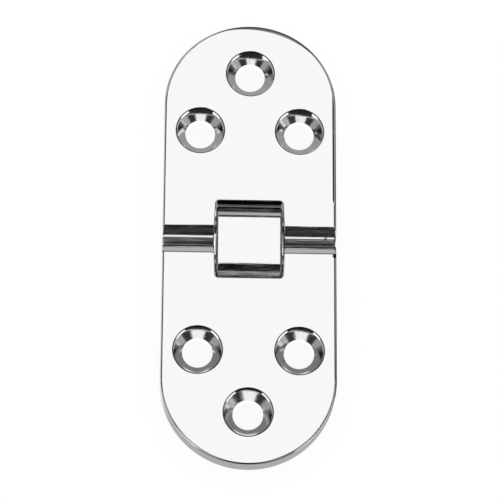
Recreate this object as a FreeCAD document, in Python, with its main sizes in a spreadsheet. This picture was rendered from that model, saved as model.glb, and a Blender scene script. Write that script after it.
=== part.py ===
"""Flap hinge for a counter or table flap: two round-ended leaves, a link between them and two pins.

Each leaf turns a quarter turn about its own pin in the link, so the flap folds right over on to
the counter and the hinge lies flush with both when it is open. The hinge lies along Y, its pins
along X, its polished faces up. The origin is midway between the pins, on the plane that the
knuckles rest on. Lengths are in millimetres.
"""

import FreeCAD, Part
import Sketcher
import os
from math import atan2, degrees, radians

from FreeCAD import Placement, Rotation, Vector

# Driving dimensions: name, value and what it measures.
SIZES = [
    ("leaf_width", 30.0, "across a leaf, and across the whole hinge"),
    ("leaf_reach", 39.8, "from the joint line to the round tip of a leaf"),
    ("leaf_thickness", 3.9, "plate of a leaf"),
    ("leaf_gap", 0.2, "between the two leaves where they meet"),
    ("groove_width", 5.0, "groove that the rounded knuckles leave in the face"),
    ("pin_spacing", 7.0, "from one pin to the other"),
    ("pin_diameter", 3.0, "both pins"),
    ("pin_recess", 0.2, "how far a pin's ends lie inside the leaf's sides"),
    ("pin_chamfer", 0.3, "on the ends of the pins"),
    ("pin_clearance", 0.05, "around a pin in the link, where it turns"),
    ("link_width", 11.4, "across the link, along the pins"),
    ("link_side_clearance", 0.12, "each side of the link in its notch"),
    ("link_end_clearance", 0.25, "between the link's round end and the notch"),
    ("link_edge_round", 0.4, "edges of the link's two sides"),
    ("notch_flare", 0.25, "how much a notch's sides open towards its mouth"),
    ("notch_corner", 0.6, "inner corners of a notch, seen from above"),
    ("notch_edge_round", 0.15, "edge between the notch and the face"),
    ("edge_round", 0.45, "outer edge of the polished face"),
    ("back_edge_round", 0.25, "outer edge of the back of the plate"),
    ("heel_round", 1.0, "lower front edge of a knuckle"),
    ("cove_round", 1.2, "hollow between a knuckle and the back of the plate"),
    ("tip_hole_inset", 9.1, "from a leaf's round tip to its first screw hole"),
    ("hole_row_pitch", 10.8, "from the screw hole at the tip back to the pair"),
    ("side_hole_inset", 6.35, "from a leaf's side to a hole of the pair"),
    ("screw_hole", 5.2, "screw hole"),
    ("countersink", 8.5, "countersink of a screw hole, at the face"),
    ("countersink_angle", 75.0, "countersink's included angle, in degrees"),
    ("countersink_rim", 0.15, "rounding of the countersink's rim"),
]

# Sizes worked out from the driving dimensions.
PIN_REACH = "sizes.pin_spacing / 2"
KNUCKLE_RADIUS = "(sizes.pin_spacing - sizes.leaf_gap) / 2"
CREST_REACH = "sizes.groove_width / 2"
PIN_DEPTH = f"sqrt(pow({KNUCKLE_RADIUS}; 2) - pow({PIN_REACH} - {CREST_REACH}; 2))"
FACE_HEIGHT = f"{KNUCKLE_RADIUS} + {PIN_DEPTH}"
BACK_HEIGHT = f"{FACE_HEIGHT} - sizes.leaf_thickness"
LINK_END_RADIUS = PIN_DEPTH
NOTCH_HALF_WIDTH = "sizes.link_width / 2 + sizes.link_side_clearance"
NOTCH_MOUTH_HALF_WIDTH = f"{NOTCH_HALF_WIDTH} + sizes.notch_flare"
NOTCH_REACH = f"{PIN_REACH} + {LINK_END_RADIUS} + sizes.link_end_clearance"
PIN_LENGTH = "sizes.leaf_width - 2 * sizes.pin_recess"
TIP_BEND_REACH = "sizes.leaf_reach - sizes.leaf_width / 2"
TIP_HOLE_REACH = "sizes.leaf_reach - sizes.tip_hole_inset"
SIDE_HOLE_REACH = f"{TIP_HOLE_REACH} - sizes.hole_row_pitch"
SIDE_HOLE_ASIDE = "sizes.leaf_width / 2 - sizes.side_hole_inset"

# The places on a sketch's lines and arcs, and its axes, in the order its constraints number them:
# places count up from 0, and axes count down from -1.
PLACES = ("whole edge", "start", "end", "centre")
AXES = ("x axis", "y axis")
ORIGIN = ("x axis", "start")
NEAR = 1e-4

doc = FreeCAD.newDocument("flap_hinge")


def make_sheet():
    """Puts the driving dimensions in a spreadsheet, one alias each."""
    sheet = doc.addObject("Spreadsheet::Sheet", "sizes")
    for row, (name, size, meaning) in enumerate(SIZES, start=1):
        sheet.set(f"A{row}", name)
        sheet.set(f"B{row}", str(size))
        sheet.set(f"C{row}", meaning)
        sheet.setAlias(f"B{row}", name)
    doc.recompute()
    return sheet


sizes = make_sheet()


def value(expression):
    """The number that an expression on the sheet comes to."""
    return float(sizes.evalExpression(expression))


def new_body(label):
    body = doc.addObject("PartDesign::Body", label)
    body.Label = label
    return body


def new_sketch(body, name, plane, height=None):
    """A sketch on one of the body's own origin planes, lifted along its normal by an expression."""
    sketch = body.newObject("Sketcher::SketchObject", name)
    support = next(f for f in body.Origin.OriginFeatures if f.Role == plane)
    sketch.AttachmentSupport = (support, [""])
    sketch.MapMode = "FlatFace"
    if height:
        sketch.setExpression("AttachmentOffset.Base.z", height)
    return sketch


def line(sketch, start, end):
    return sketch.addGeometry(Part.LineSegment(Vector(*start, 0), Vector(*end, 0)), False)


def arc(sketch, centre, radius, first, last):
    """An arc that runs anticlockwise from the first angle to the last, in degrees."""
    ring = Part.Circle(Vector(*centre, 0), Vector(0, 0, 1), radius)
    return sketch.addGeometry(Part.ArcOfCircle(ring, radians(first), radians(last)), False)


def circle(sketch, centre, radius):
    return sketch.addGeometry(Part.Circle(Vector(*centre, 0), Vector(0, 0, 1), radius), False)


def numbered(where):
    """The same lines, places and axes, with each place and axis by its number."""
    numbers = {place: index for index, place in enumerate(PLACES)}
    numbers.update((axis, ~index) for index, axis in enumerate(AXES))
    return [numbers.get(item, item) for item in where]


def tie(sketch, kind, *where):
    """A geometric constraint, such as Coincident, Tangent or Horizontal."""
    return sketch.addConstraint(Sketcher.Constraint(kind, *numbered(where)))


def dimension(sketch, name, kind, where, expression):
    """A named dimension bound to an expression on the sheet."""
    constraint = Sketcher.Constraint(kind, *numbered(where), value(expression))
    index = sketch.addConstraint(constraint)
    sketch.renameConstraint(index, name)
    sketch.setExpression(f"Constraints.{name}", expression)


def pad(body, sketch, name, length, both_ways=False):
    feature = body.newObject("PartDesign::Pad", name)
    feature.Profile = sketch
    feature.setExpression("Length", length)
    feature.SideType = "Symmetric" if both_ways else "One side"
    feature.Refine = True
    return finish(body, feature)


def cut_through(body, sketch, name, both_ways=False):
    feature = body.newObject("PartDesign::Pocket", name)
    feature.Profile = sketch
    feature.SideType = "Symmetric" if both_ways else "One side"
    feature.Type = "ThroughAll"
    return finish(body, feature, must_cut=True)


def round_edges(body, name, radius, test):
    """Rounds the edges of the body that pass the test, picked by where they lie."""
    base = body.Tip
    found = [f"Edge{i}" for i, edge in enumerate(base.Shape.Edges, start=1) if test(edge)]
    if not found:
        raise RuntimeError(f"{body.Label}: {name} finds no edge to round")
    feature = body.newObject("PartDesign::Fillet", name)
    feature.Base = (base, found)
    feature.setExpression("Radius", radius)
    return finish(body, feature, must_cut=True)


def finish(body, feature, must_cut=False):
    """Builds the feature, and checks that a cut or a rounding took something away."""
    before = feature.BaseFeature.Shape.Volume if must_cut else 0
    doc.recompute()
    if feature.Shape.isNull() or not feature.Shape.isValid():
        raise RuntimeError(f"{body.Label}: {feature.Name} isn't valid")
    if must_cut and feature.Shape.Volume >= before - NEAR:
        raise RuntimeError(f"{body.Label}: {feature.Name} takes nothing away")
    return feature


def middle(edge):
    return edge.valueAt((edge.FirstParameter + edge.LastParameter) / 2)


def lies_at_height(edge, height):
    """True if the edge's middle and both ends are at the same height above the rest plane."""
    points = [middle(edge), *(corner.Point for corner in edge.Vertexes)]
    return all(abs(point.z - height) < NEAR for point in points)


def radius_of(edge):
    return getattr(edge.Curve, "Radius", None)


def is_near(number, other):
    return number is not None and abs(number - other) < NEAR


# The knuckle's section across the joint: rounded about the pin above it, so that the leaf can
# turn up, and square below it, so that the two leaves stop each other when the hinge is flat.


def knuckle_profile(body):
    sketch = new_sketch(body, "knuckle_profile", "YZ_Plane")
    pin = (value(PIN_REACH), value(KNUCKLE_RADIUS))
    radius = value(KNUCKLE_RADIUS)
    crest = (value(CREST_REACH), value(FACE_HEIGHT))
    front = value("sizes.leaf_gap / 2")
    heel = value("sizes.heel_round")
    cove = value("sizes.cove_round")
    back = value(BACK_HEIGHT)
    rise = pin[1] - (back - cove)
    root = pin[0] + ((radius + cove) ** 2 - rise**2) ** 0.5
    seam = degrees(atan2(rise, pin[0] - root))

    face = line(sketch, (root, crest[1]), crest)
    crest_angle = degrees(atan2(crest[1] - pin[1], crest[0] - pin[0]))
    upper = arc(sketch, pin, radius, crest_angle, 180)
    stop = line(sketch, (front, pin[1]), (front, heel))
    heel_arc = arc(sketch, (front + heel, heel), heel, 180, 270)
    foot = line(sketch, (front + heel, 0), (pin[0], 0))
    lower = arc(sketch, pin, radius, 270, seam + 180)
    cove_arc = arc(sketch, (root, back - cove), cove, 90, seam)
    inner = line(sketch, (root, back), (root, crest[1]))

    tie(sketch, "Coincident", face, "end", upper, "start")
    tie(sketch, "Tangent", upper, "end", stop, "start")
    tie(sketch, "Tangent", stop, "end", heel_arc, "start")
    tie(sketch, "Tangent", heel_arc, "end", foot, "start")
    tie(sketch, "Tangent", foot, "end", lower, "start")
    tie(sketch, "Tangent", lower, "end", cove_arc, "end")
    tie(sketch, "Coincident", cove_arc, "start", inner, "start")
    tie(sketch, "Coincident", inner, "end", face, "start")
    tie(sketch, "Coincident", upper, "centre", lower, "centre")
    tie(sketch, "Equal", upper, lower)
    tie(sketch, "Horizontal", face)
    tie(sketch, "Vertical", inner)
    tie(sketch, "Vertical", cove_arc, "centre", cove_arc, "start")
    tie(sketch, "PointOnObject", foot, "start", "x axis")
    tie(sketch, "PointOnObject", foot, "end", "x axis")
    dimension(sketch, "pin_reach", "DistanceX", (*ORIGIN, upper, "centre"), PIN_REACH)
    dimension(sketch, "knuckle_radius", "Radius", (upper,), KNUCKLE_RADIUS)
    dimension(sketch, "crest_reach", "DistanceX", (*ORIGIN, face, "end"), CREST_REACH)
    dimension(sketch, "heel_round", "Radius", (heel_arc,), "sizes.heel_round")
    dimension(sketch, "cove_round", "Radius", (cove_arc,), "sizes.cove_round")
    thickness = (inner, "start", inner, "end")
    dimension(sketch, "leaf_thickness", "DistanceY", thickness, "sizes.leaf_thickness")
    return sketch


def plate_outline(body):
    """The plate seen from above: straight sides and a half-round tip."""
    sketch = new_sketch(body, "plate_outline", "XY_Plane", BACK_HEIGHT)
    half = value("sizes.leaf_width / 2")
    root = value(PIN_REACH)
    bend = value(TIP_BEND_REACH)
    right = line(sketch, (half, root), (half, bend))
    tip = arc(sketch, (0, bend), half, 0, 180)
    left = line(sketch, (-half, bend), (-half, root))
    base = line(sketch, (-half, root), (half, root))
    tie(sketch, "Tangent", right, "end", tip, "start")
    tie(sketch, "Tangent", tip, "end", left, "start")
    tie(sketch, "Coincident", left, "end", base, "start")
    tie(sketch, "Coincident", base, "end", right, "start")
    tie(sketch, "Horizontal", base)
    tie(sketch, "Vertical", right)
    tie(sketch, "PointOnObject", tip, "centre", "y axis")
    dimension(sketch, "half_width", "Radius", (tip,), "sizes.leaf_width / 2")
    dimension(sketch, "root", "DistanceY", (*ORIGIN, base, "start"), PIN_REACH)
    dimension(sketch, "bend", "DistanceY", (*ORIGIN, tip, "centre"), TIP_BEND_REACH)
    return sketch


def notch_outline(body):
    """The notch that the link lies in, a little wider at its mouth, with round inner corners."""
    sketch = new_sketch(body, "notch_outline", "XY_Plane", FACE_HEIGHT)
    half = value(NOTCH_HALF_WIDTH)
    mouth = value(NOTCH_MOUTH_HALF_WIDTH)
    reach = value(NOTCH_REACH)
    corner = value("sizes.notch_corner")
    lean = degrees(atan2(mouth - half, reach))
    right = line(sketch, (mouth, 0), (half, reach - corner))
    right_corner = arc(sketch, (half - corner, reach - corner), corner, lean, 90)
    end = line(sketch, (half - corner, reach), (corner - half, reach))
    left_corner = arc(sketch, (corner - half, reach - corner), corner, 90, 180 - lean)
    left = line(sketch, (-half, reach - corner), (-mouth, 0))
    front = line(sketch, (-mouth, 0), (mouth, 0))
    tie(sketch, "Tangent", right, "end", right_corner, "start")
    tie(sketch, "Tangent", right_corner, "end", end, "start")
    tie(sketch, "Tangent", end, "end", left_corner, "start")
    tie(sketch, "Tangent", left_corner, "end", left, "start")
    tie(sketch, "Coincident", left, "end", front, "start")
    tie(sketch, "Coincident", front, "end", right, "start")
    tie(sketch, "Equal", right_corner, left_corner)
    tie(sketch, "PointOnObject", front, "start", "x axis")
    tie(sketch, "Symmetric", front, "start", front, "end", *ORIGIN)
    tie(sketch, "Symmetric", end, "start", end, "end", "y axis")
    mouth_reach = (*ORIGIN, front, "end")
    dimension(sketch, "mouth", "DistanceX", mouth_reach, NOTCH_MOUTH_HALF_WIDTH)
    dimension(sketch, "half_width", "DistanceX", (*ORIGIN, right, "end"), NOTCH_HALF_WIDTH)
    dimension(sketch, "reach", "DistanceY", (*ORIGIN, end, "start"), NOTCH_REACH)
    dimension(sketch, "corner", "Radius", (right_corner,), "sizes.notch_corner")
    return sketch


def pin_circle(body, name, radius, reach=PIN_REACH):
    """A circle about a pin's axis, on the plane across the joint."""
    sketch = new_sketch(body, name, "YZ_Plane")
    ring = circle(sketch, (value(reach), value(KNUCKLE_RADIUS)), value(radius))
    tie_place = (*ORIGIN, ring, "centre")
    dimension(sketch, "reach", "DistanceX", tie_place, reach)
    dimension(sketch, "height", "DistanceY", tie_place, KNUCKLE_RADIUS)
    dimension(sketch, "radius", "Radius", (ring,), radius)
    return sketch


def drill_screw_holes(body):
    """Three countersunk holes in a triangle, with the odd one at the tip."""
    sketch = new_sketch(body, "screw_centres", "XY_Plane", FACE_HEIGHT)
    radius = value("sizes.screw_hole / 2")
    aside = value(SIDE_HOLE_ASIDE)
    row = value(SIDE_HOLE_REACH)
    tip = circle(sketch, (0, value(TIP_HOLE_REACH)), radius)
    right = circle(sketch, (aside, row), radius)
    left = circle(sketch, (-aside, row), radius)
    tie(sketch, "PointOnObject", tip, "centre", "y axis")
    tie(sketch, "Symmetric", right, "centre", left, "centre", "y axis")
    tie(sketch, "Equal", tip, right)
    tie(sketch, "Equal", tip, left)
    dimension(sketch, "tip", "DistanceY", (*ORIGIN, tip, "centre"), TIP_HOLE_REACH)
    dimension(sketch, "row", "DistanceY", (*ORIGIN, right, "centre"), SIDE_HOLE_REACH)
    dimension(sketch, "aside", "DistanceX", (*ORIGIN, right, "centre"), SIDE_HOLE_ASIDE)
    dimension(sketch, "radius", "Radius", (tip,), "sizes.screw_hole / 2")
    doc.recompute()
    holes = body.newObject("PartDesign::Hole", "screw_holes")
    holes.Profile = sketch
    holes.DepthType = "ThroughAll"
    holes.HoleCutType = "Countersink"
    holes.HoleCutCustomValues = True
    holes.setExpression("Diameter", "sizes.screw_hole")
    holes.setExpression("HoleCutDiameter", "sizes.countersink")
    holes.setExpression("HoleCutCountersinkAngle", "sizes.countersink_angle")
    return finish(body, holes, must_cut=True)


def make_leaf(label, turn):
    """One leaf, cast in one piece with its two knuckles, turned about Z to its own side."""
    body = new_body(label)
    pad(body, knuckle_profile(body), "knuckle", "sizes.leaf_width", both_ways=True)
    pad(body, plate_outline(body), "plate", "sizes.leaf_thickness")
    cut_through(body, notch_outline(body), "notch")
    bore = pin_circle(body, "bore_circle", "sizes.pin_diameter / 2")
    cut_through(body, bore, "pin_bore", both_ways=True)
    drill_screw_holes(body)

    half = value("sizes.leaf_width / 2")
    face = value(FACE_HEIGHT)
    back = value(BACK_HEIGHT)
    crest = value(CREST_REACH)
    rim = value("sizes.countersink / 2")

    def is_outer(edge):
        on_side = is_near(abs(middle(edge).x), half) and radius_of(edge) is None
        return on_side or is_near(radius_of(edge), half)

    def is_face_edge(edge):
        return lies_at_height(edge, face) and is_outer(edge)

    def is_back_edge(edge):
        return lies_at_height(edge, back) and is_outer(edge)

    def is_rim(edge):
        return lies_at_height(edge, face) and is_near(radius_of(edge), rim)

    def is_notch_edge(edge):
        reach = value(NOTCH_REACH)
        at_notch = crest + NEAR < middle(edge).y < reach + NEAR
        inside = abs(middle(edge).x) < value(NOTCH_MOUTH_HALF_WIDTH)
        return lies_at_height(edge, face) and at_notch and inside

    round_edges(body, "rims", "sizes.countersink_rim", is_rim)
    round_edges(body, "face_edge", "sizes.edge_round", is_face_edge)
    round_edges(body, "back_edge", "sizes.back_edge_round", is_back_edge)
    round_edges(body, "notch_edge", "sizes.notch_edge_round", is_notch_edge)
    body.Placement = Placement(Vector(), Rotation(Vector(0, 0, 1), turn))
    return body


def make_link(label):
    """The link: a block with round ends and a bore for a pin in each."""
    body = new_body(label)
    sketch = new_sketch(body, "link_profile", "YZ_Plane")
    reach = value(PIN_REACH)
    height = value(KNUCKLE_RADIUS)
    radius = value(LINK_END_RADIUS)
    far = arc(sketch, (reach, height), radius, -90, 90)
    top = line(sketch, (reach, height + radius), (-reach, height + radius))
    near = arc(sketch, (-reach, height), radius, 90, 270)
    bottom = line(sketch, (-reach, height - radius), (reach, height - radius))
    tie(sketch, "Tangent", far, "end", top, "start")
    tie(sketch, "Tangent", top, "end", near, "start")
    tie(sketch, "Tangent", near, "end", bottom, "start")
    tie(sketch, "Tangent", bottom, "end", far, "start")
    tie(sketch, "Symmetric", far, "centre", near, "centre", "y axis")
    dimension(sketch, "reach", "DistanceX", (*ORIGIN, far, "centre"), PIN_REACH)
    dimension(sketch, "height", "DistanceY", (*ORIGIN, far, "centre"), KNUCKLE_RADIUS)
    dimension(sketch, "end_radius", "Radius", (far,), LINK_END_RADIUS)
    pad(body, sketch, "block", "sizes.link_width", both_ways=True)
    bore = "sizes.pin_diameter / 2 + sizes.pin_clearance"
    for name, side in (("far_bore", PIN_REACH), ("near_bore", f"-({PIN_REACH})")):
        cut_through(body, pin_circle(body, f"{name}_circle", bore, side), name, both_ways=True)

    half = value("sizes.link_width / 2")

    def is_side_edge(edge):
        on_side = is_near(abs(middle(edge).x), half)
        return on_side and not is_near(radius_of(edge), value(bore))

    round_edges(body, "side_edges", "sizes.link_edge_round", is_side_edge)
    return body


def make_pin(label, turn):
    """A plain steel pin, pressed through both knuckles of a leaf, with chamfered ends."""
    body = new_body(label)
    sketch = pin_circle(body, "pin_section", "sizes.pin_diameter / 2")
    base = pad(body, sketch, "shank", PIN_LENGTH, both_ways=True)
    ends = [f"Edge{i}" for i, edge in enumerate(base.Shape.Edges, 1) if edge.isClosed()]
    chamfer = body.newObject("PartDesign::Chamfer", "end_chamfers")
    chamfer.Base = (base, ends)
    chamfer.setExpression("Size", "sizes.pin_chamfer")
    finish(body, chamfer, must_cut=True)
    body.Placement = Placement(Vector(), Rotation(Vector(0, 0, 1), turn))
    return body


bodies = [
    make_leaf("fixed_leaf", 0),
    make_leaf("flap_leaf", 180),
    make_link("link"),
    make_pin("fixed_pin", 0),
    make_pin("flap_pin", 180),
]
doc.recompute()


def check(document):
    """Stops the build if anything in the document failed without saying so."""
    for item in document.Objects:
        if "Invalid" in item.State or "Error" in item.State:
            raise RuntimeError(f"{item.Label} failed: {item.State}")
        if item.isDerivedFrom("Sketcher::SketchObject") and item.solve() != 0:
            raise RuntimeError(f"sketch {item.Label} doesn't solve")


check(doc)
os.makedirs("parts", exist_ok=True)
for body in bodies:
    shape = body.Shape
    if shape.isNull() or not shape.isValid() or len(shape.Solids) != 1:
        raise RuntimeError(f"{body.Label} isn't one valid solid")
    shape.exportStep(f"parts/{body.Label}.step")
    print(f"{body.Label}: {shape.Volume:.1f} mm3, {len(shape.Faces)} faces")
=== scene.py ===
import bpy
from math import radians
from mathutils import Matrix, Vector


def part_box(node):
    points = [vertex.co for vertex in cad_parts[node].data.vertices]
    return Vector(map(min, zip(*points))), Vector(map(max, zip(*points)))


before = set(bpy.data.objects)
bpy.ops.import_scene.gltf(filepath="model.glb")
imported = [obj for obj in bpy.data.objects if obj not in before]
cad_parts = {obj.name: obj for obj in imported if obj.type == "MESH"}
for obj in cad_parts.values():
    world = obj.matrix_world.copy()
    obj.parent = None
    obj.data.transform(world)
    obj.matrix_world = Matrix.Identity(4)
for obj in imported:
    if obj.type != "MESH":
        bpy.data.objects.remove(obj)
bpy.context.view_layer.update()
scene = bpy.context.scene
scene.view_settings.view_transform = "Standard"
MM = 0.001

# The two leaves. Each is a zinc casting with its two knuckles, faced flat on top, drilled and
# countersunk for three screws, polished and chrome plated. The plating is bright on the face,
# finely streaked along the knuckles, and rougher in the countersinks, where the cutter left its marks.
PLATE_THICKNESS = 3.9 * MM
SIDE_HOLE = Vector((8.65, 19.9, 0)) * MM
TIP_HOLE = Vector((0, 30.7, 0)) * MM
COUNTERSINK_RADIUS = 4.25 * MM
CREST_REACH = 2.5 * MM
face_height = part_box("fixed_leaf")[1].z
half_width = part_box("fixed_leaf")[1].x
leaf_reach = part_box("fixed_leaf")[1].y
back_height = face_height - PLATE_THICKNESS

CHROME = (0.93, 0.932, 0.935, 1)
# The dark colour of the painted shade and painted dark reflections, and of the worn nicks.
SHADE_AND_WEAR_COLOUR = (0.06, 0.06, 0.062, 1)
SCUFFED_METAL = 0.95
# GROOVE_METAL makes the groove's bottom less metallic, which darkens it as painted shade.
GROOVE_METAL = 0.7
# The roughness of the face, of the countersinks' cut walls, and of the streaks, from and to.
POLISHED = 0.05
CUT_ROUGHNESS = 0.07
SMOOTH_STREAK = 0.07
ROUGH_KNUCKLE_STREAK = 0.17

# The marks' grains to the metre along each axis, and their depths.
MOTTLE_GRAINS = (600, 600, 600)
MOTTLE_DEPTH = 0.001 * MM
KNUCKLE_STREAKS = (260, 7000, 7000)
STREAK_DEPTH = 0.012 * MM
TOOL_MARK_GRAINS = (2600, 2600, 2600)
TOOL_MARK_DEPTH = 0.003 * MM
# The levels of the streaks' noise between which they go from dark to bright, and from clean to scuffed.
DARK_TO_BRIGHT = (0.42, 0.62)
CLEAN_TO_SCUFFED = (0.45, 0.7)

# The polished bevels round the fixed leaf's tip and along its right side, the slight slope that
# polishing gave the countersinks of the flap leaf, and the lip round each countersink.
TIP_BEVEL_CENTRE = Vector((-0.94, 21.5)) * MM
TIP_BEVEL_RADIUS = 17.57 * MM
TIP_BEVEL_SLOPE = 0.1
SIDE_BEVEL_START = 14.4 * MM
SIDE_BEVEL_START_AT_JOINT = 15.2 * MM
SIDE_BEVEL_SLOPE = 0.17
FLAP_WALL_SLOPE = 0.03
LIP_SLOPE = 0.23
LIP_START_FORE = 4.06 * MM
LIP_START_AFT = 3.95 * MM

# The share of the chrome painted dark: painted shade on the knuckles' flanks along the groove, from dark to
# bright streaks, with GROOVE_SHARE of that at the groove's bottom, then painted dark reflections in a ring
# round each hole and along the edges. The two nicks, darkened as wear, lie by the groove's right end, each
# with its radius, in millimetres.
KNUCKLE_SHADE = (0.82, 0.35)
GROOVE_SHARE = 0.8
RING_RADIUS = 4.2 * MM
RING_SHADE = 0.85
EDGE_SHADE = 0.8
NICKS = [((13.2, 0.7), 0.22), ((14.7, -2.85), 0.4)]


def add_node(tree, kind, inputs=None, **settings):
    """A shader node with its settings; each of its inputs is given a number, a colour or a socket to read."""
    node = tree.nodes.new(kind)
    for name, setting in settings.items():
        setattr(node, name, setting)
    for name, value in (inputs or {}).items():
        if isinstance(value, bpy.types.NodeSocket):
            tree.links.new(value, node.inputs[name])
        else:
            node.inputs[name].default_value = value
    return node


def combine(tree, operation, *values):
    """The result of a sum on one, two or three numbers or sockets."""
    return add_node(tree, "ShaderNodeMath", dict(enumerate(values)), operation=operation).outputs[0]


def minus(tree, first, second):
    """The first less the second."""
    return combine(tree, "SUBTRACT", first, second)


def times(tree, first, second):
    """The first times the second."""
    return combine(tree, "MULTIPLY", first, second)


def plus_product(tree, rest, first, second):
    """The rest, with the first times the second added to it."""
    return combine(tree, "MULTIPLY_ADD", first, second, rest)


def larger(tree, first, second):
    """The larger of the two."""
    return combine(tree, "MAXIMUM", first, second)


def rise(tree, value, start, end):
    """A smooth step from 0 at the start to 1 at the end, which may lie below the start."""
    limits = {"Value": value, "From Min": start, "From Max": end}
    return add_node(tree, "ShaderNodeMapRange", limits, interpolation_type="SMOOTHSTEP").outputs[0]


def close_to(tree, value, aim, outer, inner):
    """1 where the value is within inner of the aim, and 0 where it is further off than outer."""
    return rise(tree, combine(tree, "ABSOLUTE", minus(tree, value, aim)), outer, inner)


def blend(tree, share, first, second):
    """A number between the first and the second, by the share of the second."""
    values = {"Factor": share, 2: first, 3: second}
    return add_node(tree, "ShaderNodeMix", values, data_type="FLOAT").outputs[0]


def stretched_noise(tree, point, stretch, detail):
    """Noise whose grains are as many to the metre along each axis as stretch says."""
    place = add_node(tree, "ShaderNodeMapping", {"Vector": point, "Scale": stretch}).outputs[0]
    settings = {"Vector": place, "Scale": 1.0, "Detail": detail, "Roughness": 0.55}
    return add_node(tree, "ShaderNodeTexNoise", settings).outputs[0]


def split(tree, point):
    """The point's x, y and z."""
    return add_node(tree, "ShaderNodeSeparateXYZ", {0: point}).outputs


def distance_on_face(tree, point, centre):
    """How far the point lies from a hole's centre, on either leaf and either side."""
    across = add_node(tree, "ShaderNodeVectorMath", {0: point}, operation="ABSOLUTE").outputs[0]
    away = add_node(tree, "ShaderNodeVectorMath", {0: across, 1: centre}, operation="SUBTRACT").outputs[0]
    flat = add_node(tree, "ShaderNodeVectorMath", {0: away, 1: (1, 1, 0)}, operation="MULTIPLY").outputs[0]
    return add_node(tree, "ShaderNodeVectorMath", {0: flat}, operation="LENGTH").outputs["Value"]


def distance_from_hole(tree, point):
    """How far the point lies from the axis of the nearest screw hole."""
    side = distance_on_face(tree, point, SIDE_HOLE)
    tip = distance_on_face(tree, point, TIP_HOLE)
    return combine(tree, "MINIMUM", side, tip)


def distance_outside(tree, x, y, centre, radius):
    """How far the point lies outside a circle on the face."""
    across = minus(tree, x, centre[0])
    up = minus(tree, y, centre[1])
    reach = combine(tree, "SQRT", plus_product(tree, times(tree, up, up), across, across))
    return minus(tree, reach, radius)


def new_metal(name, colour, roughness):
    """A metal with its node tree, the shader that ends it and the point on the piece that it reads."""
    material = bpy.data.materials.new(name)
    material.use_nodes = True
    tree = material.node_tree
    shader = tree.nodes["Principled BSDF"]
    shader.inputs["Base Color"].default_value = colour
    shader.inputs["Metallic"].default_value = 1.0
    shader.inputs["Roughness"].default_value = roughness
    point = tree.nodes.new("ShaderNodeTexCoord").outputs["Object"]
    return material, tree, shader, point


def raise_surface(tree, shader, height):
    """Shades the metal as if its surface stood up by the height, in metres."""
    bump = add_node(tree, "ShaderNodeBump", {"Height": height, "Distance": 1.0, "Strength": 1.0})
    tree.links.new(bump.outputs[0], shader.inputs["Normal"])


def darken_by_shade_and_wear(tree, shader, shade_and_wear):
    """Colours the chrome darker by the share of it that is painted shade, or wear such as the nicks."""
    colours = {"Factor": shade_and_wear, "A": CHROME, "B": SHADE_AND_WEAR_COLOUR}
    mix = add_node(tree, "ShaderNodeMix", colours, data_type="RGBA")
    tree.links.new(mix.outputs["Result"], shader.inputs["Base Color"])


def facet(tree, distance, slope):
    """A height that falls away past the line where the distance is nought, as a polished bevel does."""
    return times(tree, larger(tree, distance, 0.0), -slope)


class PlaceOnLeaf:
    """Where a point lies on either leaf, as sockets that the finish reads."""

    def __init__(self, tree, point):
        self.x, self.y, self.z = split(tree, point)
        self.along = combine(tree, "ABSOLUTE", self.y)
        self.hole = distance_from_hole(tree, point)
        self.off_back = rise(tree, self.z, back_height + 0.05 * MM, back_height + 1.5 * MM)
        self.on_front = rise(tree, self.z, back_height + 0.3 * MM, face_height - 0.5 * MM)
        in_ring = rise(tree, self.hole, COUNTERSINK_RADIUS + 0.05 * MM, COUNTERSINK_RADIUS - 0.1 * MM)
        self.in_countersink = times(tree, in_ring, self.off_back)
        on_knuckle = rise(tree, self.along, CREST_REACH + 0.05 * MM, CREST_REACH - 0.15 * MM)
        self.streaked = times(tree, on_knuckle, rise(tree, self.along, 0.78 * MM, 0.88 * MM))
        self.in_groove = rise(tree, self.along, 0.45 * MM, 0.3 * MM)
        rounded_y = larger(tree, self.y, TIP_BEVEL_CENTRE[1])
        self.past_tip = distance_outside(tree, self.x, rounded_y, TIP_BEVEL_CENTRE, TIP_BEVEL_RADIUS)


def marked_height(tree, point, place, streaks):
    """The mottle of the plating, the streaks along the knuckles and the cutter's marks."""
    mottle = stretched_noise(tree, point, MOTTLE_GRAINS, detail=2)
    tool_marks = stretched_noise(tree, point, TOOL_MARK_GRAINS, detail=4)
    height = times(tree, mottle, MOTTLE_DEPTH)
    height = plus_product(tree, height, times(tree, streaks, place.streaked), STREAK_DEPTH)
    return plus_product(tree, height, times(tree, tool_marks, place.in_countersink), TOOL_MARK_DEPTH)


def polished_height(tree, place, height):
    """The height with both bevels, and with the slight slope of the flap's countersinks."""
    near_joint = rise(tree, place.y, 7.5 * MM, 4.8 * MM)
    side_start = blend(tree, near_joint, SIDE_BEVEL_START, SIDE_BEVEL_START_AT_JOINT)
    past_side = minus(tree, place.x, side_start)
    height = plus_product(tree, height, facet(tree, place.past_tip, TIP_BEVEL_SLOPE), place.on_front)
    height = plus_product(tree, height, facet(tree, past_side, SIDE_BEVEL_SLOPE), place.on_front)
    on_flap = rise(tree, place.y, 0.05 * MM, -0.05 * MM)
    flap_wall = times(tree, times(tree, on_flap, place.off_back), FLAP_WALL_SLOPE)
    inside_rim = larger(tree, minus(tree, COUNTERSINK_RADIUS, place.hole), 0.0)
    return plus_product(tree, height, inside_rim, flap_wall)


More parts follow.
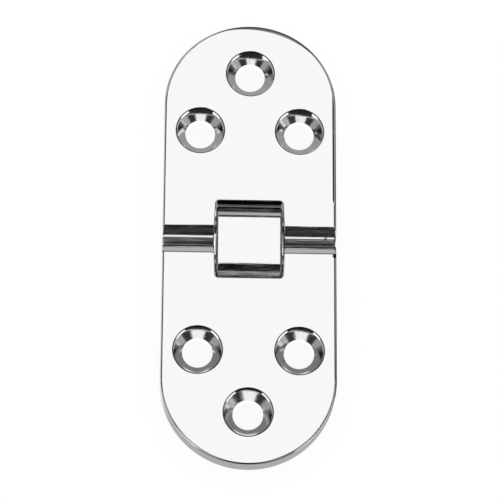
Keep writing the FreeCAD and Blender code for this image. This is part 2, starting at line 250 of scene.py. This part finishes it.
def lipped_height(tree, place, height):
    """The height with the lip of each countersink, which is wider on its aft side, away from the camera."""
    row = blend(tree, rise(tree, place.along, 23.0 * MM, 27.6 * MM), SIDE_HOLE.y, TIP_HOLE.y)
    aft_of_hole = times(tree, minus(tree, place.along, row), combine(tree, "SIGN", place.y))
    on_aft_half = rise(tree, aft_of_hole, -0.5 * MM, 0.5 * MM)
    lip_start = blend(tree, on_aft_half, LIP_START_FORE, LIP_START_AFT)
    up_the_lip = minus(tree, combine(tree, "MINIMUM", place.hole, COUNTERSINK_RADIUS), lip_start)
    return plus_product(tree, height, facet(tree, up_the_lip, LIP_SLOPE), place.off_back)


def leaf_shade_and_wear(tree, place, bright_streaks):
    """The share of the chrome painted dark: painted shade along the groove, painted dark reflections round
    the holes and along the edges, and the worn nicks.
    """
    fixed_flank = rise(tree, place.along, 0.64 * MM, 0.54 * MM)
    fixed_flank = times(tree, fixed_flank, rise(tree, place.y, -0.05 * MM, 0.0))
    flap_flank = rise(tree, place.y, -1.66 * MM, -1.54 * MM)
    flap_flank = times(tree, flap_flank, rise(tree, place.y, -0.8 * MM, -0.9 * MM))
    on_flank = larger(tree, fixed_flank, flap_flank)
    # Painted shade on the knuckles' flanks along the groove, lighter on the bright streaks and less at the
    # groove's bottom.
    shade_and_wear = times(tree, on_flank, blend(tree, bright_streaks, *KNUCKLE_SHADE))
    shade_and_wear = times(tree, shade_and_wear, blend(tree, place.in_groove, 1.0, GROOVE_SHARE))

    # Painted dark reflections in a ring just inside each countersink's rim, along the fixed leaf's tip bevel
    # and along the flap leaf's crest.
    ring = close_to(tree, place.hole, RING_RADIUS, 0.13 * MM, 0.05 * MM)
    ring = times(tree, ring, place.off_back)
    bevel = times(tree, rise(tree, place.past_tip, 0.02 * MM, 0.12 * MM), place.on_front)
    crest_line = close_to(tree, place.y, -CREST_REACH, 0.14 * MM, 0.05 * MM)
    crest_line = times(tree, crest_line, place.on_front)
    for line, share in ((ring, RING_SHADE), (bevel, EDGE_SHADE), (crest_line, EDGE_SHADE)):
        shade_and_wear = larger(tree, shade_and_wear, times(tree, line, share))

    for (nick_x, nick_y), radius in NICKS:
        outside = distance_outside(tree, place.x, place.y, (nick_x * MM, nick_y * MM), radius * MM)
        nick = rise(tree, outside, 0.1 * MM, -0.1 * MM)
        shade_and_wear = larger(tree, shade_and_wear, times(tree, nick, place.on_front))
    return shade_and_wear


def chromed_leaf():
    """The finish of both leaves."""
    material, tree, shader, point = new_metal("chromed_leaf", CHROME, POLISHED)
    place = PlaceOnLeaf(tree, point)
    streaks = stretched_noise(tree, point, KNUCKLE_STREAKS, detail=4)
    bright_streaks = rise(tree, streaks, *DARK_TO_BRIGHT)

    height = marked_height(tree, point, place, streaks)
    height = polished_height(tree, place, height)
    raise_surface(tree, shader, lipped_height(tree, place, height))
    darken_by_shade_and_wear(tree, shader, leaf_shade_and_wear(tree, place, bright_streaks))

    roughness = blend(tree, place.in_countersink, POLISHED, CUT_ROUGHNESS)
    on_streaks = blend(tree, bright_streaks, SMOOTH_STREAK, ROUGH_KNUCKLE_STREAK)
    roughness = blend(tree, place.streaked, roughness, on_streaks)
    tree.links.new(roughness, shader.inputs["Roughness"])

    scuffed = times(tree, place.streaked, rise(tree, streaks, *CLEAN_TO_SCUFFED))
    metallic = blend(tree, scuffed, 1.0, SCUFFED_METAL)
    # The groove is made less metallic, which darkens it further as painted shade.
    metallic = blend(tree, place.in_groove, metallic, GROOVE_METAL)
    tree.links.new(metallic, shader.inputs["Metallic"])
    return material


leaf_finish = chromed_leaf()
for name in ("fixed_leaf", "flap_leaf"):
    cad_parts[name].material_slots[0].material = leaf_finish

# The link lies in the notches of the two leaves and turns on both pins. It is a block with round
# ends, cast, polished and chrome plated as the leaves are, and its round ends keep fine streaks.
LINK_STREAKS = (260, 6500, 6500)
LINK_GRAINS = (2400, 2400, 2400)
LINK_GRAIN_DEPTH = 0.02 * MM
# The link's sides are darkened, and its round ends are painted dark as shade, the far end most, each less on
# the bright streaks.
LINK_SIDE_DARKENING = 0.6
FAR_END_SHADE = (0.9, 0.5)
NEAR_END_SHADE = (0.6, 0.2)
ROUGH_LINK_STREAK = 0.14
SCUFFED_LINK_METAL = 0.9


def chromed_link():
    """The finish of the link, with its sides dull and darkened, and its ends streaked and painted dark as
    shade, the far end most.
    """
    material, tree, shader, point = new_metal("chromed_link", CHROME, POLISHED)
    x, y, _ = split(tree, point)
    on_end = rise(tree, combine(tree, "ABSOLUTE", y), 4.0 * MM, 4.3 * MM)
    on_side = rise(tree, combine(tree, "ABSOLUTE", x), 5.3 * MM, 5.5 * MM)
    streaks = stretched_noise(tree, point, LINK_STREAKS, detail=4)
    grain = stretched_noise(tree, point, LINK_GRAINS, detail=3)
    bright_streaks = rise(tree, streaks, *DARK_TO_BRIGHT)

    height = times(tree, times(tree, streaks, on_end), STREAK_DEPTH)
    height = plus_product(tree, height, times(tree, grain, on_side), LINK_GRAIN_DEPTH)
    raise_surface(tree, shader, height)

    # Painted shade on the round ends, deepest on the far end and lighter on the bright streaks; the sides are
    # darkened.
    far_end = rise(tree, y, 4.75 * MM, 5.0 * MM)
    near_end = rise(tree, y, -4.3 * MM, -4.6 * MM)
    shade_and_wear = times(tree, far_end, blend(tree, bright_streaks, *FAR_END_SHADE))
    shade_and_wear = larger(tree, shade_and_wear, times(tree, on_side, LINK_SIDE_DARKENING))
    near_shade = times(tree, near_end, blend(tree, bright_streaks, *NEAR_END_SHADE))
    shade_and_wear = larger(tree, shade_and_wear, near_shade)
    darken_by_shade_and_wear(tree, shader, shade_and_wear)

    on_streaks = blend(tree, bright_streaks, SMOOTH_STREAK, ROUGH_LINK_STREAK)
    tree.links.new(blend(tree, on_end, POLISHED, on_streaks), shader.inputs["Roughness"])
    scuffed = times(tree, larger(tree, on_end, on_side), rise(tree, streaks, *CLEAN_TO_SCUFFED))
    tree.links.new(blend(tree, scuffed, 1.0, SCUFFED_LINK_METAL), shader.inputs["Metallic"])
    return material


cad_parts["link"].material_slots[0].material = chromed_link()

# The two pins, of drawn steel wire, cut to length, chamfered and left unplated. Each is pressed
# through both knuckles of its leaf, and the link turns on it between them.
STEEL = (0.62, 0.62, 0.6, 1)
STEEL_ROUGHNESS = 0.3
pin_finish = new_metal("steel_pin", STEEL, STEEL_ROUGHNESS)[0]
for name in ("fixed_pin", "flap_pin"):
    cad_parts[name].material_slots[0].material = pin_finish

# The floor that the hinge lies on, plain and nearly white. The camera sees it as the white
# background, with the hinge's soft shadow on it. The polished walls see a glow painted on it instead: painted
# shadow under the leaves, a painted pool of light under each hole, and painted light and shadow in patches
# beside the leaves.
FLOOR_HALF = 1.5
FLOOR_COLOUR = (0.8, 0.8, 0.8, 1)
SHADOWED_COLOUR = (0.12, 0.12, 0.12, 1)
WHITE = (1, 1, 1, 1)
FLOOR_GLOW = 0.91
# The painted shadow under each leaf, the painted pool of light under a hole, and the glow beside the leaves,
# as the polished walls see them.
UNDER_FIXED_LEAF = 0.33
UNDER_FLAP_LEAF = 0.2
UNDER_HOLE = 1.05
BESIDE_LEAF = 0.43
# Each patch of painted light and shadow beside the leaves: its axis, where it starts and where it is full, in
# millimetres, and its brightness.
PAINTED_PATCHES = [
    ("x", -12, -15, 0.88),
    ("x", 12, 15, 0.04),
    ("y", -25, -32, 0.43),
    ("y", 36, 38, 0.08),
]


def painted_floor_light(tree, point):
    """The glow of painted shade and light on the floor, as the hinge's polished walls see it."""
    x, y, _ = split(tree, point)
    beside = BESIDE_LEAF
    for axis, start, end, strength in PAINTED_PATCHES:
        share = rise(tree, {"x": x, "y": y}[axis], start * MM, end * MM)
        beside = blend(tree, share, beside, strength)

    straight_part = leaf_reach - half_width
    past_bend = larger(tree, minus(tree, combine(tree, "ABSOLUTE", y), straight_part), 0.0)
    outside = distance_outside(tree, x, past_bend, (0, 0), half_width)
    hole = distance_from_hole(tree, point)
    under_leaf = blend(tree, rise(tree, y, 3 * MM, 9 * MM), UNDER_FLAP_LEAF, UNDER_FIXED_LEAF)
    brightness = blend(tree, rise(tree, hole, 3.4 * MM, 2.6 * MM), under_leaf, UNDER_HOLE)
    return blend(tree, rise(tree, outside, -1.0 * MM, 0.5 * MM), brightness, beside)


def floor_finish():
    """Pale where it lights the hinge, white to the camera, and a glow of painted shade and light in a
    polished wall.
    """
    material = bpy.data.materials.new("pale_floor")
    material.use_nodes = True
    tree = material.node_tree
    tree.nodes.remove(tree.nodes["Principled BSDF"])
    rays = tree.nodes.new("ShaderNodeLightPath").outputs
    point = tree.nodes.new("ShaderNodeTexCoord").outputs["Object"]

    plain = add_node(tree, "ShaderNodeBsdfDiffuse", {"Color": FLOOR_COLOUR}).outputs[0]
    shadowed = add_node(tree, "ShaderNodeBsdfDiffuse", {"Color": SHADOWED_COLOUR}).outputs[0]
    glow = add_node(tree, "ShaderNodeEmission", {"Color": WHITE, "Strength": FLOOR_GLOW}).outputs[0]
    seen = add_node(tree, "ShaderNodeAddShader", {0: shadowed, 1: glow}).outputs[0]
    # The polished walls see this painted glow of shade and light instead of the lit floor.
    painted_glow = add_node(tree, "ShaderNodeEmission", {"Strength": painted_floor_light(tree, point)}).outputs[0]

    unseen = add_node(tree, "ShaderNodeMixShader", {0: rays["Is Glossy Ray"], 1: plain, 2: painted_glow})
    choice = {0: rays["Is Camera Ray"], 1: unseen.outputs[0], 2: seen}
    floor_shader = add_node(tree, "ShaderNodeMixShader", choice).outputs[0]
    tree.links.new(floor_shader, tree.nodes["Material Output"].inputs[0])
    return material


floor_mesh = bpy.data.meshes.new("floor")
corners = [(x * FLOOR_HALF, y * FLOOR_HALF, 0) for x, y in ((-1, -1), (1, -1), (1, 1), (-1, 1))]
floor_mesh.from_pydata(corners, [], [(0, 1, 2, 3)])
floor_mesh.materials.append(floor_finish())
floor = bpy.data.objects.new("floor", floor_mesh)
scene.collection.objects.link(floor)

# The studio. A soft box overhead whitens the polished faces, windows and lamps stand at both
# sides in front, and the dark room before and behind the box draws the dark lines along the
# rounded edges. ROOM is the brightness of the rest, and each zone lies over those before it.
ROOM = 0.45
DIFFUSE_FILL = 0.9
BACKGROUND = 1.0
# Each zone's name, how far it leans aft of straight up and how far it lies to the right, both in
# degrees, from and to, then its brightness and the width of its soft edge in degrees.
ZONES = [
    ("dark room in front", (-92, -38), (-44, 46), 0.02, 3),
    ("left window", (-125, -62), (-90, -48), 1.0, 4),
    ("right window", (-125, -62), (52, 90), 1.0, 4),
    ("left lamp", (-80, -52), (-78, -40), 1.3, 3),
    ("right lamp", (-80, -52), (40, 78), 1.3, 3),
    ("gap behind the soft box", (35, 51), (-26, 26), 0.05, 4),
    ("grey sides", (-7, 15), (-60, 60), 0.3, 4),
    ("dim sides in front", (-40, -7), (-60, 60), 0.08, 4),
    ("grey in front", (-62, -38), (-38, 38), 0.16, 4),
    ("dark strip in front", (-86, -14), (-5.5, 6), 0.012, 2),
    ("faint strip in front", (-62, -45), (-14, 14), 0.035, 5),
    ("light on the left", (-38, -8), (-32, -13), 0.85, 4),
    ("grey on the left", (-22, -7), (-20, -12), 0.42, 4),
    ("light on the right", (-22, -8), (19, 32), 0.6, 4),
    ("grey on the right", (-38, -7), (12, 19), 0.36, 4),
    ("gaps beside the soft box", (-7, 6), (-19, 18), 0.03, 3),
    ("dark room on the left", (12, 36), (-50, -12), 0.03, 3),
    ("dark room on the right", (15, 36), (10, 80), 0.03, 3),
    ("soft box, near end", (-14, 8), (-6, 7), 1.0, 2),
    ("soft box", (5, 35), (-9, 9), 1.0, 2),
]


def studio():
    """The surroundings, with every zone laid over those before it."""
    world = bpy.data.worlds.new("studio")
    world.use_nodes = True
    tree = world.node_tree
    towards = tree.nodes.new("ShaderNodeTexCoord").outputs["Generated"]
    x, y, z = split(tree, towards)
    degree = radians(1)
    aft = combine(tree, "DIVIDE", combine(tree, "ARCTAN2", y, z), degree)
    aside = combine(tree, "DIVIDE", combine(tree, "ARCSINE", x), degree)

    brightness = ROOM
    for _, (fore_end, aft_end), (left_end, right_end), strength, soft in ZONES:
        share = 1.0
        for angle, start, end in ((aft, fore_end, aft_end), (aside, left_end, right_end)):
            share = times(tree, share, rise(tree, angle, start - soft / 2, start + soft / 2))
            share = times(tree, share, rise(tree, angle, end + soft / 2, end - soft / 2))
        brightness = blend(tree, share, brightness, strength)

    rays = tree.nodes.new("ShaderNodeLightPath").outputs
    brightness = blend(tree, rays["Is Diffuse Ray"], brightness, DIFFUSE_FILL)
    brightness = blend(tree, rays["Is Camera Ray"], brightness, BACKGROUND)
    tree.links.new(brightness, tree.nodes["Background"].inputs["Strength"])
    tree.nodes["Background"].inputs["Color"].default_value = WHITE
    return world


scene.world = studio()

# The camera stands in front of the hinge and a little to its left, looking down on it, with a long
# lens. It is placed by a lean, a turn and a roll about the middle of the face.
CAMERA_LEAN = radians(18.5)
CAMERA_TURN = radians(-1.675)
CAMERA_ROLL = radians(0.926)
CAMERA_PLACE = Vector((0.116, -1.91, 427.665)) * MM
LENS = 179.1
SENSOR_WIDTH = 36
CLIP_START = 0.01

camera_data = bpy.data.cameras.new("camera")
camera_data.lens = LENS
camera_data.sensor_width = SENSOR_WIDTH
camera_data.clip_start = CLIP_START
camera = bpy.data.objects.new("camera", camera_data)
scene.collection.objects.link(camera)
lean = Matrix.Rotation(CAMERA_LEAN, 4, "X")
turn = Matrix.Rotation(CAMERA_TURN, 4, "Y")
roll = Matrix.Rotation(CAMERA_ROLL, 4, "Z")
stand = Matrix.Translation((0, 0, face_height))
camera.matrix_world = stand @ lean @ turn @ roll @ Matrix.Translation(CAMERA_PLACE)
scene.camera = camera
